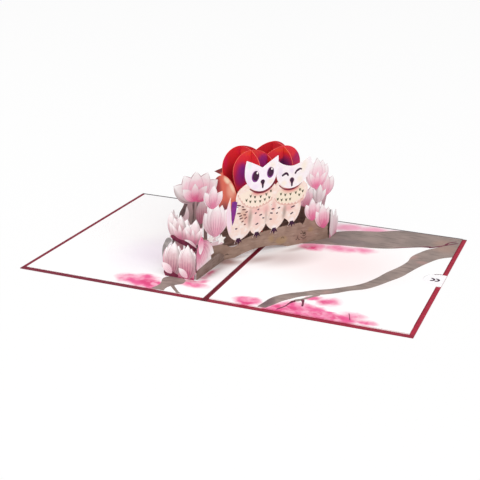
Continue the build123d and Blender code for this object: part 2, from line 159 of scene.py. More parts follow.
def spots(tree, place, places, how="MAXIMUM"):
    """Soft ovals of ink in one field: middle, half sizes, turn in degrees, and how much of each is edge."""
    total = None
    for x, y, wide, deep, turn, soft in places:
        local = add(tree, "ShaderNodeMapping", {
            "Vector": place, "Location": (x * MM, y * MM, 0), "Rotation": (0, 0, math.radians(turn)),
            "Scale": (wide * MM, deep * MM, 1)}, vector_type="TEXTURE")
        away = add(tree, "ShaderNodeVectorMath", {0: local}, operation="LENGTH").outputs["Value"]
        one = amount(tree, (away, 1.0, 1.0 - soft))
        total = one if total is None else add(tree, "ShaderNodeMath", {0: total, 1: one}, operation=how)
    return total


def ink_fields(tree, place, colour, fields):
    """Lays several inks in turn, each a colour, its strength and its soft ovals."""
    for ink, strength, places in fields:
        colour = ink_over(tree, colour, ink, spots(tree, place, places), strength)
    return colour


# Materials

def make_lining(name, pink, grey, cores, tint, bare=(), fold_line=False):
    """Smooth white lining paper with water colour fields: thin pink ink that pools in its cores.

    grey is the soft shade at the foot of the sheets, bare is paper left white, tint is a faint wash."""
    material, tree = new_material(name)
    place = on_page(tree)
    loose = wander(tree, wander(tree, place, 9.0, 3.0), 2.2, 0.8)
    wash = add(tree, "ShaderNodeTexNoise", {"Vector": place, "Scale": 1 / (7.0 * MM), "Detail": 5.0})
    parts = add(tree, "ShaderNodeSeparateXYZ", {"Vector": place})
    across = parts.outputs[0]
    back = parts.outputs[1]
    field = spots(tree, loose, pink)
    if bare:
        inked = add(tree, "ShaderNodeMath", {0: 1.0, 1: spots(tree, loose, bare)}, operation="SUBTRACT")
        field = amount(tree, field, inked)
    colour = ink_fields(tree, place, "FEFDFD", tint)
    colour = ink_over(tree, colour, "F8AFC9", field)
    # The ink pools less towards the back of the page
    colour = ink_over(tree, colour, "EC5C95", field, (wash, 0.30, 0.62), (back, 110 * MM, -40 * MM))
    colour = ink_over(tree, colour, "E0447F", spots(tree, loose, cores), (wash, 0.35, 0.55))
    colour = ink_over(tree, colour, "A98A86", spots(tree, place, grey, "ADD"), 0.5)
    colour = ink_over(tree, colour, "5A5256", (back, BACK_LINE - 0.3 * MM, BACK_LINE))
    if fold_line:
        colour = ink_over(tree, colour, "7A1C30", (across, FOLD_LINE + 0.3 * MM, FOLD_LINE))
    # Behind the pop up the lining's cut edge is toned like the printed branch that runs over it
    facing = add(tree, "ShaderNodeTexCoord").outputs["Normal"]
    upright = add(tree, "ShaderNodeSeparateXYZ", {"Vector": facing}).outputs[2]
    level = add(tree, "ShaderNodeMath", {0: upright}, operation="ABSOLUTE")
    colour = ink_over(tree, colour, "8F7D77", (level, 0.6, 0.4), (back, 24 * MM, 30 * MM))
    finish_paper(tree, colour, 0.55, 0.4, 0.06)
    return material


def make_red_card():
    """Red card dyed through: even and matt, paler where the fibres stand up, and darker at its fold, along
    its front edge and over the left page as painted shade.
    """
    material, tree = new_material("dyed_red_card")
    place = add(tree, "ShaderNodeTexCoord").outputs["Object"]
    mottle = add(tree, "ShaderNodeTexNoise", {"Vector": place, "Scale": 1 / (3.0 * MM), "Detail": 4.0})
    parts = add(tree, "ShaderNodeSeparateXYZ", {"Vector": place})
    across = parts.outputs[0]
    back = parts.outputs[1]
    from_fold = add(tree, "ShaderNodeMath", {0: across}, operation="ABSOLUTE")
    colour = ink_over(tree, "A01B36", "B0233E", (mottle, 0.35, 0.7))
    # Painted shade: darker along the front edge, over the left page, and most at the fold
    colour = ink_over(tree, colour, "5E1F30", (back, -84 * MM, -86 * MM), 0.35)
    colour = ink_over(tree, colour, "5A1E30", (across, 20 * MM, -60 * MM), 0.55)
    colour = ink_over(tree, colour, "56101F", (from_fold, 2.4 * MM, 1.6 * MM), 0.75)
    colour = ink_over(tree, colour, "4B4548", (back, 87.4 * MM, 87.9 * MM))
    finish_paper(tree, colour, 0.6, 0.35, 0.12)
    return material


def make_note_stock():
    """Smooth white writing card, with a mottle so faint that it only takes the flatness away."""
    material, tree = new_material("white_note_card")
    place = add(tree, "ShaderNodeTexCoord").outputs["Object"]
    mottle = add(tree, "ShaderNodeTexNoise", {"Vector": place, "Scale": 1 / (5.0 * MM), "Detail": 2.0})
    finish_paper(tree, ink_over(tree, "FAF7FA", "FEFDFE", mottle), 0.5, 0.4, 0.05)
    return material


def make_bark(name, angle, pale, mid, dark, knots_and_shade=(), warm=()):
    """Bark printed as water colour: long streaks with the grain, warm clouds, dark knot marks and painted
    shade.
    """
    material, tree = new_material(name)
    place = on_sheet(tree, angle)
    grain = add(tree, "ShaderNodeMapping", {
        "Vector": wander(tree, place, 6.0, 0.8), "Scale": (0.16, 1.0, 1.0)})
    streak = add(tree, "ShaderNodeTexNoise", {"Vector": grain, "Scale": 1 / (1.5 * MM), "Detail": 5.0})
    cloud = add(tree, "ShaderNodeTexNoise", {"Vector": place, "Scale": 1 / (9.0 * MM), "Detail": 3.0})
    colour = ink_over(tree, mid, pale, (cloud, 0.35, 0.65))
    colour = ink_over(tree, colour, dark, (streak, 0.52, 0.74), 0.6)
    colour = ink_over(tree, colour, "CFC1B6", (streak, 0.44, 0.30), 0.25)
    if warm:
        colour = ink_over(tree, colour, "A98A66", spots(tree, wander(tree, place, 3.0, 1.0), warm), 0.7)
    # Dark knot marks, with the painted shade given among them
    if knots_and_shade:
        colour = ink_over(tree, colour, "3F3128", spots(tree, wander(tree, place, 2.0, 0.7), knots_and_shade))
    finish_paper(tree, colour)
    return material


def make_flat_ink(name, main, second, size=2.0):
    """Printing ink on paper, with a slight mottle where it soaked in."""
    material, tree = new_material(name)
    place = add(tree, "ShaderNodeTexCoord").outputs["Object"]
    mottle = add(tree, "ShaderNodeTexNoise", {"Vector": place, "Scale": 1 / (size * MM), "Detail": 3.0})
    finish_paper(tree, ink_over(tree, main, second, (mottle, 0.38, 0.62)), 0.55, 0.35, 0.06)
    return material


def make_page_branch():
    """The branch on the page: thin grey brown wash, darker along its streaks."""
    material, tree = new_material("branch_wash_on_page")
    place = on_page(tree)
    loose = wander(tree, place, 8.0, 2.0)
    turned = add(tree, "ShaderNodeMapping", {
        "Vector": loose, "Rotation": (0, 0, math.radians(-28)), "Scale": (0.2, 1.0, 1.0)})
    streak = add(tree, "ShaderNodeTexNoise", {"Vector": turned, "Scale": 1 / (2.4 * MM), "Detail": 5.0})
    cloud = add(tree, "ShaderNodeTexNoise", {"Vector": place, "Scale": 1 / (18.0 * MM), "Detail": 3.0})
    colour = ink_over(tree, "8B7B75", "9E8B84", (cloud, 0.35, 0.65))
    colour = ink_over(tree, colour, "6C5F5B", (streak, 0.52, 0.68), 0.55)
    # Warm where the limbs part, rosy along the bends, painted shade where the pop up's end stands over it,
    # and dark at the tip
    colour = ink_fields(tree, loose, colour, (
        ("B08E80", 0.55, ((118, 62, 16, 12, 40, 0.8), (112, 72, 12, 8, 60, 0.8))),
        ("B98F89", 0.5, ((99, 36, 6, 8, -30, 0.8), (108, 28, 7, 5, 0, 0.8), (64, -48, 6, 4, 40, 0.9))),
        ("76686C", 0.6, ((52, 46, 22, 9, 8, 0.9),)),
        ("6E565C", 0.8, ((36, -77, 6, 12, 0, 0.8),)),
    ))
    finish_paper(tree, colour, 0.55, 0.4, 0.06)
    return material


def make_heart_paper(name, angle, base, fields):
    """Heart slices: red ink with purple and plum washes, and a raw cut edge of coral."""
    material, tree = new_material(name)
    colour = ink_fields(tree, wander(tree, on_sheet(tree, angle), 12.0, 1.4), base, fields)
    facing = add(tree, "ShaderNodeTexCoord").outputs["Normal"]
    a = math.radians(angle)
    across = add(tree, "ShaderNodeVectorMath", {0: facing, 1: (math.sin(a), -math.cos(a), 0)},
                 operation="DOT_PRODUCT").outputs["Value"]
    flat = add(tree, "ShaderNodeMath", {0: across}, operation="ABSOLUTE")
    colour = ink_over(tree, colour, "F0705C", (flat, 0.6, 0.4))
    finish_paper(tree, colour, 0.55, 0.35, 0.08)
    return material


def make_petal_paper():
    """Magnolia petals: pink at the foot, fading to near white, with fine veins and a thin plum outline."""
    material, tree = new_material("magnolia_petal_print")
    parts = add(tree, "ShaderNodeSeparateXYZ", {"Vector": add(tree, "ShaderNodeUVMap", uv_map="petal")})
    across = parts.outputs[0]
    up = parts.outputs[1]
    # Each petal carries its tone: how pink and how grey it is, and whether its colour runs from its tip
    tone = add(tree, "ShaderNodeAttribute", attribute_name="tone", attribute_type="GEOMETRY")
    tones = add(tree, "ShaderNodeSeparateColor", {"Color": tone})
    pink = tones.outputs[0]
    shade = tones.outputs[1]
    turned = add(tree, "ShaderNodeMath", {0: up, 1: -2.0, 2: 1.0}, operation="MULTIPLY_ADD")
    along = add(tree, "ShaderNodeMath", {0: turned, 1: tones.outputs[2], 2: up}, operation="MULTIPLY_ADD")
    place = add(tree, "ShaderNodeTexCoord").outputs["Object"]
    wash = add(tree, "ShaderNodeTexNoise", {"Vector": place, "Scale": 1 / (3.0 * MM), "Detail": 4.0})
    uneven = add(tree, "ShaderNodeMath", {0: wash, 1: 0.35, 2: -0.35 / 2}, operation="MULTIPLY_ADD")
    height = add(tree, "ShaderNodeMath", {0: along, 1: uneven}, operation="ADD")
    middle = ink_over(tree, "F8BFD0", "C79A9F", shade)
    foot = ink_over(tree, "F0709F", "A04E6A", shade)
    depth = add(tree, "ShaderNodeMath", {0: pink, 1: 0.6, 2: 0.4}, operation="MULTIPLY_ADD")
    colour = ink_over(tree, "FDFAF9", middle, (height, 1.0, 0.4), depth)
    colour = ink_over(tree, colour, foot, (height, 0.56, 0.06), pink)
    colour = ink_over(tree, colour, "A79A98", (across, 0.40, 0.02), shade, 0.75)
    # Veins run up from the foot, and each petal says how strongly they are printed
    fanned = add(tree, "ShaderNodeCombineXYZ", {"X": across, "Y": amount(tree, along, 0.12)})
    stripes = add(tree, "ShaderNodeTexWave", {
        "Vector": fanned, "Scale": 1.6, "Distortion": 1.2, "Detail": 1.0}).outputs[1]
    veins = add(tree, "ShaderNodeAttribute", attribute_name="veins", attribute_type="GEOMETRY")
    vein_ink = ink_over(tree, "C2648E", "743A54", shade)
    colour = ink_over(tree, colour, vein_ink,
                      (stripes, 0.74, 1.0), (along, 0.72, 0.22), veins.outputs["Fac"], 0.68)
    from_middle = add(tree, "ShaderNodeMath", {0: across, 1: 0.5}, operation="SUBTRACT")
    side = add(tree, "ShaderNodeMath", {0: from_middle}, operation="ABSOLUTE")
    colour = ink_over(tree, colour, "A07C8A", (side, 0.44, 0.5), 0.42)
    finish_paper(tree, colour, 0.58, 0.35, 0.08)
    return material


def make_blossom_base(name, angle, low, mid, high, change):
    """Card behind the petals: one wash above another, with uneven edges at the heights in change."""
    material, tree = new_material(name)
    place = on_sheet(tree, angle)
    up = add(tree, "ShaderNodeSeparateXYZ", {"Vector": place}).outputs[1]
    wash = add(tree, "ShaderNodeTexNoise", {"Vector": place, "Scale": 1 / (3.5 * MM), "Detail": 5.0})
    uneven = add(tree, "ShaderNodeMath", {0: wash, 1: 9.0 * MM, 2: -9.0 * MM / 2}, operation="MULTIPLY_ADD")
    height = add(tree, "ShaderNodeMath", {0: up, 1: uneven}, operation="ADD")
    colour = ink_over(tree, low, mid, (height, change[0] * MM, change[1] * MM))
    colour = ink_over(tree, colour, high, (height, change[2] * MM, change[3] * MM))
    finish_paper(tree, colour, 0.6)
    return material


def make_owl_paper(name, base, fields):
    """Owl print: cream and shell pink washes that soften into each other, with painted shade among the
    fields.
    """
    material, tree = new_material(name)
    place = on_sheet(tree)
    mottle = add(tree, "ShaderNodeTexNoise", {"Vector": place, "Scale": 1 / (2.2 * MM), "Detail": 3.0})
    colour = ink_over(tree, base, "FFFFFF", (mottle, 0.4, 0.7), 0.4)
    colour = ink_fields(tree, wander(tree, place, 4.0, 0.5), colour, fields)
    finish_paper(tree, colour, 0.58, 0.35, 0.06)
    return material


# Helpers for meshes

def standing(x, y, angle, height=PAGE):
    """The frame of an upright sheet: x along it, y up, z out of its printed face."""
    a = math.radians(angle)
    along = Vector((math.cos(a), math.sin(a), 0))
    up = Vector((0, 0, 1))
    turn = Matrix((along, up, along.cross(up))).transposed().to_4x4()
    return Matrix.Translation((x * MM, y * MM, height * MM)) @ turn


def long_sheet(n):
    """The frame of a long sheet, by its distance towards the viewer."""
    a = math.radians(LONG_ANGLE)
    return standing(n * math.sin(a), -n * math.cos(a), LONG_ANGLE)


def lying(height):
    """The frame of a page, by its height."""
    return Matrix.Translation((0, 0, height * MM))


def pick(obj):
    bpy.ops.object.select_all(action="DESELECT")
    obj.select_set(True)
    bpy.context.view_layer.objects.active = obj


def settle(obj, place):
    """Puts a piece at its place and leaves that in its mesh."""
    pick(obj)
    obj.matrix_world = place
    bpy.ops.object.transform_apply(location=True, rotation=True, scale=True)


def join(pieces, name, material, body="card"):
    """Makes one piece of several, in one material, on one body."""
    pick(pieces[0])
    for piece in pieces:
        piece.select_set(True)
    if len(pieces) > 1:
        bpy.ops.object.join()
    whole = bpy.context.view_layer.objects.active
    whole.name = name
    whole.data.name = name
    whole.data.materials.clear()
    whole.data.materials.append(material)
    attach(whole, body)
    return whole


def trim(piece, place, cuts):
    """Takes off what lies past each cut: a point on the sheet, and the way out."""
    pick(piece)
    bpy.ops.object.mode_set(mode="EDIT")
    for x, y, out_x, out_y in cuts:
        bpy.ops.mesh.select_all(action="SELECT")
        bpy.ops.mesh.bisect(plane_co=place @ Vector((x * MM, y * MM, 0)),
                            plane_no=place.to_3x3() @ Vector((out_x, out_y, 0)),
                            clear_outer=True, use_fill=True)
    bpy.ops.object.mode_set(mode="OBJECT")


def ink_shape(place, points, lift=ON, thick=MARK, rounded=True):
    """A flat shape with this outline, printed on a sheet: lift is the distance of its back."""
    data = bpy.data.curves.new("ink", "CURVE")
    data.dimensions = "2D"
    data.fill_mode = "BOTH"
    data.extrude = thick / 2 * MM
    data.resolution_u = 5
    if rounded:
        line = data.splines.new("BEZIER")
        line.bezier_points.add(len(points) - 1)
        for point, (x, y) in zip(line.bezier_points, points):
            point.co = (x * MM, y * MM, 0)
            point.handle_left_type = "AUTO"
            point.handle_right_type = "AUTO"
    else:
        line = data.splines.new("POLY")
        line.points.add(len(points) - 1)
        for point, (x, y) in zip(line.points, points):
            point.co = (x * MM, y * MM, 0, 1)
    line.use_cyclic_u = True
    piece = bpy.data.objects.new("ink", data)
    bpy.context.scene.collection.objects.link(piece)
    pick(piece)
    bpy.ops.object.convert(target="MESH")
    piece = bpy.context.view_layer.objects.active
    bpy.ops.object.mode_set(mode="EDIT")
    bpy.ops.mesh.select_all(action="SELECT")
    bpy.ops.mesh.remove_doubles(threshold=0.001 * MM)
    bpy.ops.mesh.normals_make_consistent(inside=False)
    bpy.ops.object.mode_set(mode="OBJECT")
    settle(piece, place @ Matrix.Translation((0, 0, (lift + thick / 2) * MM)))
    return piece


def ink_behind(place, points, lift, thick=MARK):
    """A shape on the other face of a sheet, with its points as the first face sees them."""
    return ink_shape(place @ Matrix.Rotation(math.pi, 4, "Y"), [(-x, y) for x, y in points], lift, thick)


def oval(x, y, wide, high, turn=0.0, steps=10):
    """Points round an oval: its middle, its whole size and its turn in degrees."""
    points = []
    t = math.radians(turn)
    for k in range(steps):
        a = 2 * math.pi * k / steps
        px = wide / 2 * math.cos(a)
        py = high / 2 * math.sin(a)
        points.append((x + px * math.cos(t) - py * math.sin(t), y + px * math.sin(t) + py * math.cos(t)))
    return points


def stroke(points, widths):
    """The outline of a brush stroke along points, with its width at each of them."""
    left = []
    right = []
    for k, (x, y) in enumerate(points):
        ax, ay = points[max(k - 1, 0)]
        bx, by = points[min(k + 1, len(points) - 1)]
        length = math.hypot(bx - ax, by - ay)
        nx = -(by - ay) / length
        ny = (bx - ax) / length
        w = widths[k] / 2
        left.append((x + nx * w, y + ny * w))
        right.append((x - nx * w, y - ny * w))
    return left + right[::-1]


# Prints of each sheet

lining_right = make_lining(
    "printed_lining_right",
    pink=(
        (25, -80, 11, 9, 10, 0.6), (44, -84, 12, 8, 0, 0.5), (54, -78, 15, 12, 10, 0.5),
        (68, -80, 15, 10, 0, 0.5), (69, -62, 12, 9, 20, 1.0), (60, -60, 7, 5, 30, 0.7),
        (83, -82, 14, 8, 0, 0.6), (88, -75, 11, 7, 0, 1.0), (97, -81.5, 10, 6, 0, 1.0),
        (32, 27, 13, 10, 21, 0.6), (49, 31, 15, 9.5, 10, 0.8), (65, 34, 14, 8.5, 10, 0.9),
        (57, 31, 10, 7, 10, 0.9), (44, 76, 20, 12, 14, 0.8), (62, 78, 20, 12, 10, 0.8),
        (32, 70, 9, 9, 30, 0.7), (80, 81, 16, 7, 8, 0.9),
    ),
    grey=(
        (5, -14, 22, 9, 54, 1.0), (-5, -23, 10, 6, 54, 1.0), (25, 20, 20, 5, 54, 1.0),
        (22, -4, 34, 20, 46, 1.0),
    ),
    cores=(
        (50, -80, 11, 5, 10, 0.8), (68, -80, 10, 4, 0, 0.8), (68, -63, 5, 4, 20, 0.9),
        (81, -81, 7, 3, 0, 0.9), (25, -83, 6, 3, 0, 0.9), (32, 24.5, 8, 5, 21, 0.8),
    ),
    bare=((60.6, -66.0, 3.6, 4.0, 10, 0.6), (75, -73.4, 5.6, 2.8, 0, 0.6), (53, -60.4, 4.0, 1.6, 45, 0.6)),
    tint=(("F9E9E9", 0.9, ((60, 0, 60, 60, 0, 1.0),)),),
    fold_line=True,
)
lining_left = make_lining(
    "printed_lining_left",
    pink=(
        (-48, -77, 21, 11, -10, 0.6), (-38, -80, 10, 9, 0, 0.5), (-47, -69, 11, 5.5, 0, 0.8),
        (-17, -69, 15, 6.5, 0, 1.0), (-13.2, -49, 15, 3.4, 84, 1.0), (-12, -62, 7, 4, 60, 1.0),
    ),
    grey=(
        (-10, -30, 16, 9, 60, 1.0), (-12, -48, 20, 6, 80, 1.0), (-5, -22, 11, 7, 54, 1.0),
        (-13, -23, 13, 9, 60, 1.0), (-13, -23, 10, 7, 60, 1.0), (-7, -13, 13, 4, 54, 1.0),
        (-30, -40, 8, 20, 0, 1.0), (-24, -65, 14, 4, 0, 1.0),
    ),
    cores=((-41, -78, 10, 6, -10, 0.6), (-18, -64.4, 6, 1.6, 0, 1.0), (-12.8, -46, 9, 1.6, 84, 1.0)),
    tint=(("F6EDF7", 0.9, ((-60, -30, 40, 50, 0, 1.0),)),),
)
red_card = make_red_card()
note_stock = make_note_stock()
branch_front_print = make_bark(
    "bark_print_front", LONG_ANGLE, "A78B7C", "94786A", "6B564B",
    knots_and_shade=(
        # The first oval is painted shade in the gap at the wall's right end, the others are knot marks
        (WALL_END, 12, 2.6, 16, 0, 0.5), (39.6, 7.2, 2.2, 1.2, 20, 0.9), (21.5, 7.4, 0.9, 0.5, 0, 0.9),
        (33, 3.8, 1.2, 0.5, 20, 0.9),
    ),
    warm=((20.5, 5.6, 6.5, 3.4, 0, 0.5), (12, 8, 4, 4, 0, 0.9), (45, 9, 4, 3, 0, 0.9)),
)
# Darker copies of the front bark for the side and rear walls: painted shade
branch_side_shaded_print = make_bark("bark_print_side_shaded", SIDE_ANGLE, "927E75", "80695F", "5C4A42")
branch_rear_shaded_print = make_bark("bark_print_rear_shaded", LONG_ANGLE, "8E7267", "6F5549", "46352E")
branch_end_print = make_blossom_base(
    "end_panel_print", END_ANGLE, "E796AF", "F5C6D0", "FBEFF0", (0, 5, 5, 13))
trunk_print = make_blossom_base(
    "trunk_print", LONG_ANGLE, "7A6866", "A08E8B", "C4A6A9", (2, 14, 26, 38))
trunk_right_print = make_blossom_base(
    "trunk_right_print", LONG_ANGLE, "5A463C", "C79FA8", "EBD3DA", (4, 16, 26, 40))
front_base_print = make_blossom_base(
    "front_base_print", 0.0, "A83A62", "D890A4", "E8C4CC", (-1, 4, 5, 14))
corner_base_print = make_blossom_base(
    "corner_base_print", SIDE_ANGLE, "F6D3DC", "F378A4", "F690B4", (4, 11, 16, 22))
middle_base_print = make_blossom_base(
    "middle_base_print", 0.0, "9C3558", "A2767C", "E8C7CF", (2, 14, 16, 24))
# The grey over the far left panel is painted shade; the plum at its foot is print
side_base_shaded_print = make_blossom_base(
    "side_base_shaded_print", OUTER_ANGLE, "8C3A58", "98898A", "D9C6C8", (2, 10, 20, 30))
low_base_print = make_blossom_base(
    "low_base_print", LONG_ANGLE, "D9B6BC", "E7CBD0", "F0DDE2", (4, 14, 20, 40))

heart_front_print = make_heart_paper(
    "heart_front_print", LONG_ANGLE, "EA3442",
    (
        ("EE4A30", 0.8, ((2, 65.5, 8, 2.4, 0, 0.9), (26, 65.0, 8, 2.4, 0, 0.9))),
        ("B82458", 0.9, ((-5, 51, 8.6, 12.5, 0, 0.6), (32, 54.5, 14, 7, 0, 0.7), (12.6, 58, 8, 7, 0, 0.7))),
        ("A22C86", 0.95, ((-4, 51.5, 6.4, 10.0, 0, 0.6), (12.6, 58.6, 6.0, 5.8, 0, 0.6),
                          (16, 48, 14, 9, 0, 0.8))),
        ("742E92", 0.7, ((-3.4, 53.5, 4.0, 7.0, 0, 0.9),)),
        ("6E2860", 0.95, ((31, 55.6, 8.4, 4.4, -4, 0.6),)),
        ("4A2058", 0.8, ((29.5, 54.4, 6.6, 2.8, -4, 0.8),)),
        ("B42464", 0.95, ((41, 58.0, 4.4, 6.4, 0, 0.7),)),
    ),
)
heart_back_print = make_heart_paper(
    "heart_back_print", LONG_ANGLE, "E22C38",
    (
        ("A81A2C", 0.7, ((-4, 48, 8, 11, 0, 0.9), (16, 52, 10, 12, 0, 0.9), (36, 50, 9, 12, 0, 0.9))),
        ("DE2458", 0.8, ((5, 64, 7, 5, 0, 0.9), (34, 64, 7, 5, 0, 0.9), (-9, 58, 3, 8, 0, 0.9))),
        ("84203C", 0.9, ((0, 30, 16, 12, 0, 0.9), (32, 30, 16, 12, 0, 0.9))),
    ),
)
rib_print = make_heart_paper(
    "heart_rib_print", RIB_ANGLE, "D62A36",
    (
        ("E8502F", 0.8, ((-19, 63, 10, 3.5, 0, 0.9),)),
        ("7C1238", 0.9, ((-19, 36, 16, 18, 0, 0.9),)),
    ),
)
rib_plum_print = make_heart_paper(
    "heart_rib_plum_print", RIB_ANGLE, "D62A36",
    (
        ("E8502F", 0.8, ((-8, 65, 12, 3.0, 0, 0.9),)),
        ("A8285C", 0.9, ((-10, 56, 13, 6.6, 8, 0.5),)),
        ("6E2860", 0.95, ((-11, 54.4, 11, 6.0, 8, 0.6),)),
        ("4A2058", 0.8, ((-13, 52.6, 9, 4.0, 8, 0.8),)),
    ),
)
leaf_print = make_heart_paper(
    "heart_end_rib_print", RIB_ANGLE, "D8654F",
    (
        ("F0A58C", 0.9, ((-16, 40, 7, 8, -40, 0.8),)),
        ("F6D3B4", 0.95, ((-21, 46.4, 7, 3.4, 0, 0.8), (-14.5, 43.0, 6, 3.2, -38, 0.8))),
        ("8E1A2C", 0.95, ((-34, 39, 8.5, 14, 12, 0.8),)),
        ("5A1030", 0.95, ((-21, 21, 18, 13, 0, 0.8),)),
        ("74141E", 0.95, ((-33, 50.6, 8.6, 3.6, 18, 0.4),)),
    ),
)

owl_head_left_print = make_owl_paper(
    "owl_head_left_print", "FBF3FA",
    (
        ("F3E2F6", 0.7, ((-9, 52, 4, 9, 0, 0.9), (-3, 47, 5, 3, 0, 0.9))),
        ("E6F5F0", 0.8, ((-8, 62, 2.6, 4, 0, 0.8),)),
        ("FBEBD6", 0.6, ((10, 60, 4, 4, 0, 0.9), (9, 49, 4, 3, 0, 0.9))),
        ("E3B9DC", 0.7, ((-3.2, 55, 4.0, 5.0, 0, 0.7), (8.4, 55.2, 3.8, 5.0, 0, 0.7))),
        ("EAB0B4", 0.8, ((2.4, 48.6, 2.4, 2.4, 0, 0.8),)),
    ),
)
owl_head_right_print = make_owl_paper(
    "owl_head_right_print", "FAF1F4",
    (
        ("FBEEDC", 0.8, ((36, 56, 4, 7, -20, 0.9), (33, 47, 4, 4, 0, 0.9), (20, 46, 4, 3, 0, 0.9))),
        ("EFE0F4", 0.7, ((17, 54, 3, 6, 0, 0.9), (26, 54, 3, 3, 0, 0.9))),
        ("EAA6AE", 0.85, ((26.4, 47, 3.0, 3.0, 0, 0.8),)),
    ),
)
owl_left_print = make_owl_paper(
    "owl_body_left_print", "F8DFD2",
    (
        ("EFB8B2", 0.9, ((-2, 30, 10, 4, 0, 0.9), (-9, 26, 4, 8, 10, 0.9), (6, 30, 5, 6, 0, 0.9))),
        ("F5CCC6", 0.9, ((-1, 24, 6, 8, 0, 0.9),)),
        # Grey brown bands where the lobes meet: painted shade
        ("AB968C", 0.85, ((-6.4, 26, 2.5, 9, -5, 0.9),)),
        ("BFA79F", 0.6, ((6.4, 25, 2.0, 8, 0, 0.9),)),
        ("DBAE98", 0.8, ((-11.6, 29, 5.0, 9, 10, 0.9),)),
        ("FBEAD8", 0.95, ((-1.6, 39.4, 14.6, 7.0, -4, 0.25), (-11, 41, 6, 4, 0, 0.6))),
        # Coral and dark red under the chin: painted shade of the head
        ("E89A92", 0.9, ((2.5, 42.9, 11.0, 4.0, 4, 0.8),)),
        ("CC4A52", 0.9, ((2.5, 43.6, 9.8, 2.3, 6, 0.8),)),
        ("F8DFEE", 0.9, ((-23, 28, 2.6, 14, 4, 0.6),)),
        ("FCF3F2", 0.9, ((-15, 14, 5, 2.6, 0, 0.8), (-1, 15.6, 3, 2.2, 0, 0.8))),
    ),
)
owl_right_print = make_owl_paper(
    "owl_body_right_print", "F8DFD2",
    (
        ("EFB9B2", 0.9, ((25, 28, 8, 4, 0, 0.9), (36, 31, 4, 4, 0, 0.9), (13, 31, 3, 6, 0, 0.9))),
        ("F6D4C6", 0.9, ((13, 22, 5, 7, 0, 0.9),)),
        # Grey brown bands where the lobes meet: painted shade
        ("AB968C", 0.85, ((21.6, 25.5, 2.5, 8, -6, 0.9),)),
        ("C9B2AC", 0.5, ((8.6, 26, 2.0, 8, 0, 0.9),)),
        ("F8EAD4", 0.95, ((26, 37.4, 13.4, 7.0, 4, 0.25),)),
        # Coral and dark red under the chin: painted shade of the head
        ("E89A92", 0.9, ((26, 41.0, 10.0, 3.8, 0, 0.8),)),
        ("CC4A52", 0.9, ((26, 41.6, 8.8, 2.1, 0, 0.8),)),
        ("FCF3F2", 0.9, ((13.6, 16, 3, 2.6, 0, 0.8), (28, 19, 3, 2.4, 0, 0.8))),
    ),
)
petal_paper = make_petal_paper()
plum_ink = make_flat_ink("plum_ink", "321230", "45183C")
feather_ink = make_flat_ink("brown_feather_ink", "6A3C40", "82504E")
olive_ink = make_flat_ink("olive_ink", "4D4A32", "5E5B40")
twig_ink = make_flat_ink("dark_red_twig_ink", "5C1E36", "7A2A44", 3.0)
chin_shadow_ink = make_flat_ink("dark_red_shade_ink", "6E1A30", "8A2436")
ruff_shade_ink = make_flat_ink("soft_brown_pink_ink", "E2B3A6", "E9C2B4", 3.0)
crack_ink = make_flat_ink("dark_bark_ink", "5E4A3F", "725C4F", 2.0)
stalk_ink = make_flat_ink("grey_green_ink", "8F8C8A", "A9A6A2", 3.0)
grey_twig_ink = make_flat_ink("grey_twig_ink", "5A4A4C", "75605F", 2.0)
purple_ink = make_flat_ink("purple_ink", "6E2488", "8A2C86", 4.0)
white_ink = make_flat_ink("white_blossom_ink", "FBF4EE", "FFFDFC", 3.0)
eye_glow_ink = make_flat_ink("violet_ink", "7C2A80", "93409A")
page_branch_ink = make_page_branch()

for node, material in {
    "cover": red_card,
    "liner_left": lining_left,
    "liner_right": lining_right,
    "note_card": note_stock,
    "branch_front": branch_front_print,
    "branch_side": branch_side_shaded_print,
    "branch_rear": branch_rear_shaded_print,
    "branch_end": branch_end_print,
    "heart_front": heart_front_print,
    "heart_back": heart_back_print,
    "heart_rib_1": leaf_print,
    "heart_rib_2": rib_print,
    "heart_rib_3": rib_print,
    "heart_rib_4": rib_plum_print,
    "heart_rib_5": leaf_print,
    "owl_body_left": owl_left_print,
    "owl_body_right": owl_right_print,
    "owl_head_left": owl_head_left_print,
    "owl_head_right": owl_head_right_print,
    "blossom_front_left": front_base_print,
    "blossom_middle_left": middle_base_print,
    "blossom_side_left": side_base_shaded_print,
    "blossom_corner_left": corner_base_print,
    "blossom_low_left": low_base_print,
    "blossom_low_right": low_base_print,
    "blossom_tall_left": trunk_print,
    "blossom_tall_right": trunk_right_print,
}.items():
    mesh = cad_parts[node].data
    mesh.materials.clear()
    mesh.materials.append(material)


# Petals, laid over the flowers of each sheet as thin plates that cover both its faces

OVER_WIDTH = 1.03       # petals are a little larger than the sheet's own, so that none of its edge shows
OVER_LENGTH = 1.01


def make_unit_petal():
    """A pointed oval of length 1 and width 1, standing on its lower point."""
    rows = 10
    bpy.ops.object.select_all(action="DESELECT")
    bpy.ops.mesh.primitive_grid_add(x_subdivisions=4, y_subdivisions=rows, size=1.0, location=(0, 0, 0))
    petal = bpy.context.view_layer.objects.active
    petal.name = "petal"
    petal.data.uv_layers[0].name = "petal"
    bpy.ops.object.mode_set(mode="EDIT")
    bpy.ops.mesh.select_mode(type="VERT")
    for k in range(rows + 1):
        y = -0.5 + k / rows
        bpy.ops.mesh.select_all(action="DESELECT")
        bpy.ops.object.mode_set(mode="OBJECT")
        for vertex in petal.data.vertices:
            vertex.select = abs(vertex.co.y - y) < 0.01
        bpy.ops.object.mode_set(mode="EDIT")
        # Widest a little below the middle, and blunter at the foot than at the tip
        t = k / rows
        width = 1.0 - abs(2 * t - 0.9) ** 2.1 / (1.0 if t < 0.45 else 1.22)
        bpy.ops.transform.resize(value=(max(width, 0.02), 1, 1), center_override=(0, y, 0))
    bpy.ops.mesh.select_all(action="SELECT")
    bpy.ops.transform.translate(value=(0, 0.5, 0))
    bpy.ops.object.mode_set(mode="OBJECT")
    return petal


unit_petal = make_unit_petal()


